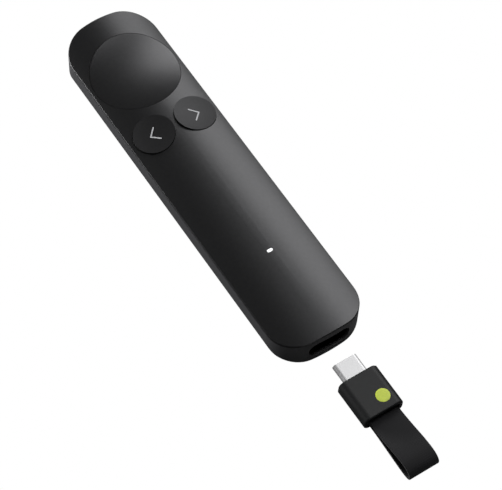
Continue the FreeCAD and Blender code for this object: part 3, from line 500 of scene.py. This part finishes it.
class CLICKER_OT_finishes(bpy.types.Operator):
    """Gives every solid of the frame its finish"""
    bl_idname = "clicker.finishes"
    bl_label = "Finishes"

    def execute(self, context):
        for node, maker in NODE_FINISH.items():
            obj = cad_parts[node]
            obj.data.materials.clear()
            obj.data.materials.append(finish_of(maker))
        return {"FINISHED"}


class CLICKER_OT_marks(bpy.types.Operator):
    """Prints the two arrows on the page buttons"""
    bl_idname = "clicker.marks"
    bl_label = "Button marks"

    def execute(self, context):
        values = context.scene.clicker_marks
        for side, body in ((-1, "back"), (1, "next")):
            obj = chevron(side, values.reach / MM, values.spread / MM, values.stroke / MM, values.lift / MM)
            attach(obj, body)
        return {"FINISHED"}


class CLICKER_OT_dot(bpy.types.Operator):
    """Makes the plain coloured dot on the receiver"""
    bl_idname = "clicker.dot"
    bl_label = "Receiver dot"

    def execute(self, context):
        values = context.scene.clicker_receiver
        radius = values.dot_size / MM / 2
        cx, cy = (c / MM for c in values.dot_place)
        verts = []
        for share, up in DOT_RINGS[:-1]:
            for k in range(DOT_SIDES):
                a = 2 * math.pi * k / DOT_SIDES
                verts.append((cx + radius * share * math.cos(a), cy + radius * share * math.sin(a),
                              HOUSING_HIGH.z + up))
        verts.append((cx, cy, HOUSING_HIGH.z + DOT_RINGS[-1][1]))
        faces = [list(range(DOT_SIDES))[::-1]]
        for r in range(len(DOT_RINGS) - 2):
            low, high = r * DOT_SIDES, (r + 1) * DOT_SIDES
            for k in range(DOT_SIDES):
                n = (k + 1) % DOT_SIDES
                faces.append([low + k, low + n, high + n, high + k])
        base = (len(DOT_RINGS) - 2) * DOT_SIDES
        for k in range(DOT_SIDES):
            faces.append([base + k, base + (k + 1) % DOT_SIDES, len(verts) - 1])
        obj = mesh_object("receiver_dot", verts, faces, finish_of(dot_enamel))
        smooth(obj, 30)
        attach(obj, "receiver")
        return {"FINISHED"}


class CLICKER_OT_strap(bpy.types.Operator):
    """Makes the folded ribbon loop of the receiver"""
    bl_idname = "clicker.strap"
    bl_label = "Strap loop"

    def execute(self, context):
        values = context.scene.clicker_receiver
        wide = values.strap_width / MM
        thick = values.strap_thick / MM
        layer = thick / 2 + LAYER_GAP
        mouth = HOUSING_LOW.y
        inner_end = STRAP_HIGH.y + STRAP_INSIDE
        far = mouth - STRAP_LOW.y - STRAP_END - thick / 2
        turn = [(far - 0.2, 1.15), (far - 0.15, -0.3)]
        shown = [(STRAP_MOUTH, layer)] + STRAP_UPPER + turn + STRAP_LOWER + [(STRAP_MOUTH, -layer)]
        points = [(inner_end, STRAP_MID_Z + layer)]
        points += [(mouth - out, STRAP_MID_Z + high) for out, high in shown]
        points += [(inner_end, STRAP_MID_Z - layer)]
        obj = folded_band("strap_band", points, wide, thick, RIBBON_EDGE, finish_of(woven_ribbon))
        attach(obj, "receiver")
        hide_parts("strap_loop")
        return {"FINISHED"}


# photograph's camera, fitted to the body: angles in degrees, distances in millimetres
CAMERA_AZ = -36.031
CAMERA_EL = 59.698
CAMERA_ROLL = 3.540
CAMERA_DISTANCE = 677.2
CAMERA_PIXELS_PER_MM = 3.2416
CAMERA_SHIFT = (-12.974, -16.911)
BASE_OFFSET = 0.145
PHOTO_WIDTH = 502
SENSOR_WIDTH = 36
# the floor, in millimetres: half its side, and how far under the part it lies
FLOOR_REACH = 1500
FLOOR_DROP = 0.02
# soft panels: name, light that sets the power and the share of it, direction from the part, then distance, size
# and aim in metres
PANELS = (
    ("key_soft_panel", "key", 1.0, (0.66, 0.40, 0.64), 0.75, (0.50, 0.42), (0, -0.02, 0)),
    ("overhead_strip", "key", 0.40, (0.26, -0.06, 0.96), 0.70, (0.20, 0.28), (0, -0.02, 0)),
    ("left_panel", "side", 1.0, (-0.62, 0.78, 0.03), 0.45, (0.30, 0.12), (0, 0.03, 0)),
    ("front_panel", "side", 0.07, (-0.25, -0.92, 0.30), 0.80, (0.50, 0.20), (0, -0.02, 0)),
)


def area_light(name, direction, distance, size, power, target):
    # soft white panel shining on the object from a direction
    data = bpy.data.lights.new(name, "AREA")
    data.shape = "RECTANGLE"
    data.size, data.size_y = size
    data.energy = power
    obj = bpy.data.objects.new(name, data)
    away = Vector(direction).normalized()
    obj.location = Vector(target) + away * distance
    obj.rotation_euler = away.to_track_quat("Z", "Y").to_euler()
    bpy.context.scene.collection.objects.link(obj)


def white_sweep():
    # seamless paper floor: grey to the object, so its walls stay dark, and pure white to the camera
    material, tree = start("paper_sweep_smooth")
    seen = add(tree, "ShaderNodeLightPath", {}).outputs["Is Camera Ray"]
    paper = add(tree, "ShaderNodeBsdfDiffuse", {"Color": colour("#747474")}).outputs["BSDF"]
    white = add(tree, "ShaderNodeEmission", {"Color": colour("#FFFFFF")}).outputs["Emission"]
    both = add(tree, "ShaderNodeMixShader", {0: seen, 1: paper, 2: white})
    add(tree, "ShaderNodeOutputMaterial", {"Surface": both.outputs["Shader"]})
    return material


class CLICKER_OT_stage(bpy.types.Operator):
    """Builds the floor, the soft lights and the photograph's camera"""
    bl_idname = "clicker.stage"
    bl_label = "Studio"

    def execute(self, context):
        scene = context.scene
        values = scene.clicker_stage
        verts = [(x * FLOOR_REACH, y * FLOOR_REACH, -FLOOR_DROP)
                 for x, y in ((-1, -1), (1, -1), (1, 1), (-1, 1))]
        floor = mesh_object("floor", verts, [[0, 1, 2, 3]], white_sweep())

        az = math.radians(CAMERA_AZ)
        el = math.radians(CAMERA_EL)
        roll = math.radians(CAMERA_ROLL)
        back = Vector((math.sin(az) * math.cos(el), -math.cos(az) * math.cos(el), math.sin(el)))
        right = (-back).cross(Vector((0, 0, 1))).normalized()
        up = right.cross(-back)
        right_rolled = right * math.cos(roll) + up * math.sin(roll)
        up_rolled = up * math.cos(roll) - right * math.sin(roll)
        place = -CAMERA_SHIFT[0] * right_rolled + CAMERA_SHIFT[1] * up_rolled + CAMERA_DISTANCE * back
        place.z -= BASE_OFFSET
        data = bpy.data.cameras.new("photo_camera")
        data.sensor_width = SENSOR_WIDTH
        data.lens = CAMERA_PIXELS_PER_MM * CAMERA_DISTANCE * SENSOR_WIDTH / PHOTO_WIDTH
        data.clip_end = 20
        camera = bpy.data.objects.new("photo_camera", data)
        turn = Matrix((right_rolled, up_rolled, back)).transposed()
        camera.matrix_world = Matrix.Translation(place * MM) @ turn.to_4x4()
        scene.collection.objects.link(camera)
        scene.camera = camera

        for name, source, share, direction, distance, size, aim in PANELS:
            area_light(name, direction, distance, size, getattr(values, source) * share, aim)

        world = bpy.data.worlds.new("studio_room")
        scene.world = world
        world.use_nodes = True
        tree = world.node_tree
        tree.nodes.clear()
        seen = add(tree, "ShaderNodeLightPath", {}).outputs["Is Camera Ray"]
        room = add(tree, "ShaderNodeBackground", {"Color": colour("#FFFFFF"), "Strength": values.room})
        white = add(tree, "ShaderNodeBackground", {"Color": colour("#FFFFFF")})
        both = add(tree, "ShaderNodeMixShader", {0: seen, 1: room.outputs["Background"],
                                                 2: white.outputs["Background"]})
        add(tree, "ShaderNodeOutputWorld", {"Surface": both.outputs["Shader"]})
        scene.view_settings.view_transform = "Standard"
        return {"FINISHED"}


class CLICKER_PT_panel(bpy.types.Panel):
    bl_idname = "CLICKER_PT_panel"
    bl_label = "Presentation clicker"
    bl_space_type = "VIEW_3D"
    bl_region_type = "UI"
    bl_category = "Clicker"

    def draw(self, context):
        for holder in GROUPS:
            group = getattr(context.scene, holder)
            for word in group.bl_rna.properties.keys():
                if word not in ("rna_type", "name"):
                    self.layout.prop(group, word)
        for operator in STEPS:
            self.layout.operator(operator.bl_idname)


STEPS = (CLICKER_OT_finishes, CLICKER_OT_marks, CLICKER_OT_dot, CLICKER_OT_strap, CLICKER_OT_stage)
GROUPS = {"clicker_finish": ClickerFinish, "clicker_marks": ClickerMarks,
          "clicker_receiver": ClickerReceiver, "clicker_stage": ClickerStage}


def register():
    for group in GROUPS.values():
        bpy.utils.register_class(group)
    for operator in STEPS:
        bpy.utils.register_class(operator)
    bpy.utils.register_class(CLICKER_PT_panel)
    for word, group in GROUPS.items():
        setattr(bpy.types.Scene, word, PointerProperty(type=group))


def unregister():
    for word in GROUPS:
        delattr(bpy.types.Scene, word)
    bpy.utils.unregister_class(CLICKER_PT_panel)
    for operator in reversed(STEPS):
        bpy.utils.unregister_class(operator)
    for group in GROUPS.values():
        bpy.utils.unregister_class(group)


def main():
    register()
    bpy.ops.clicker.finishes()
    bpy.ops.clicker.marks()
    bpy.ops.clicker.dot()
    bpy.ops.clicker.strap()
    bpy.ops.clicker.stage()


if __name__ == "__main__":
    main()
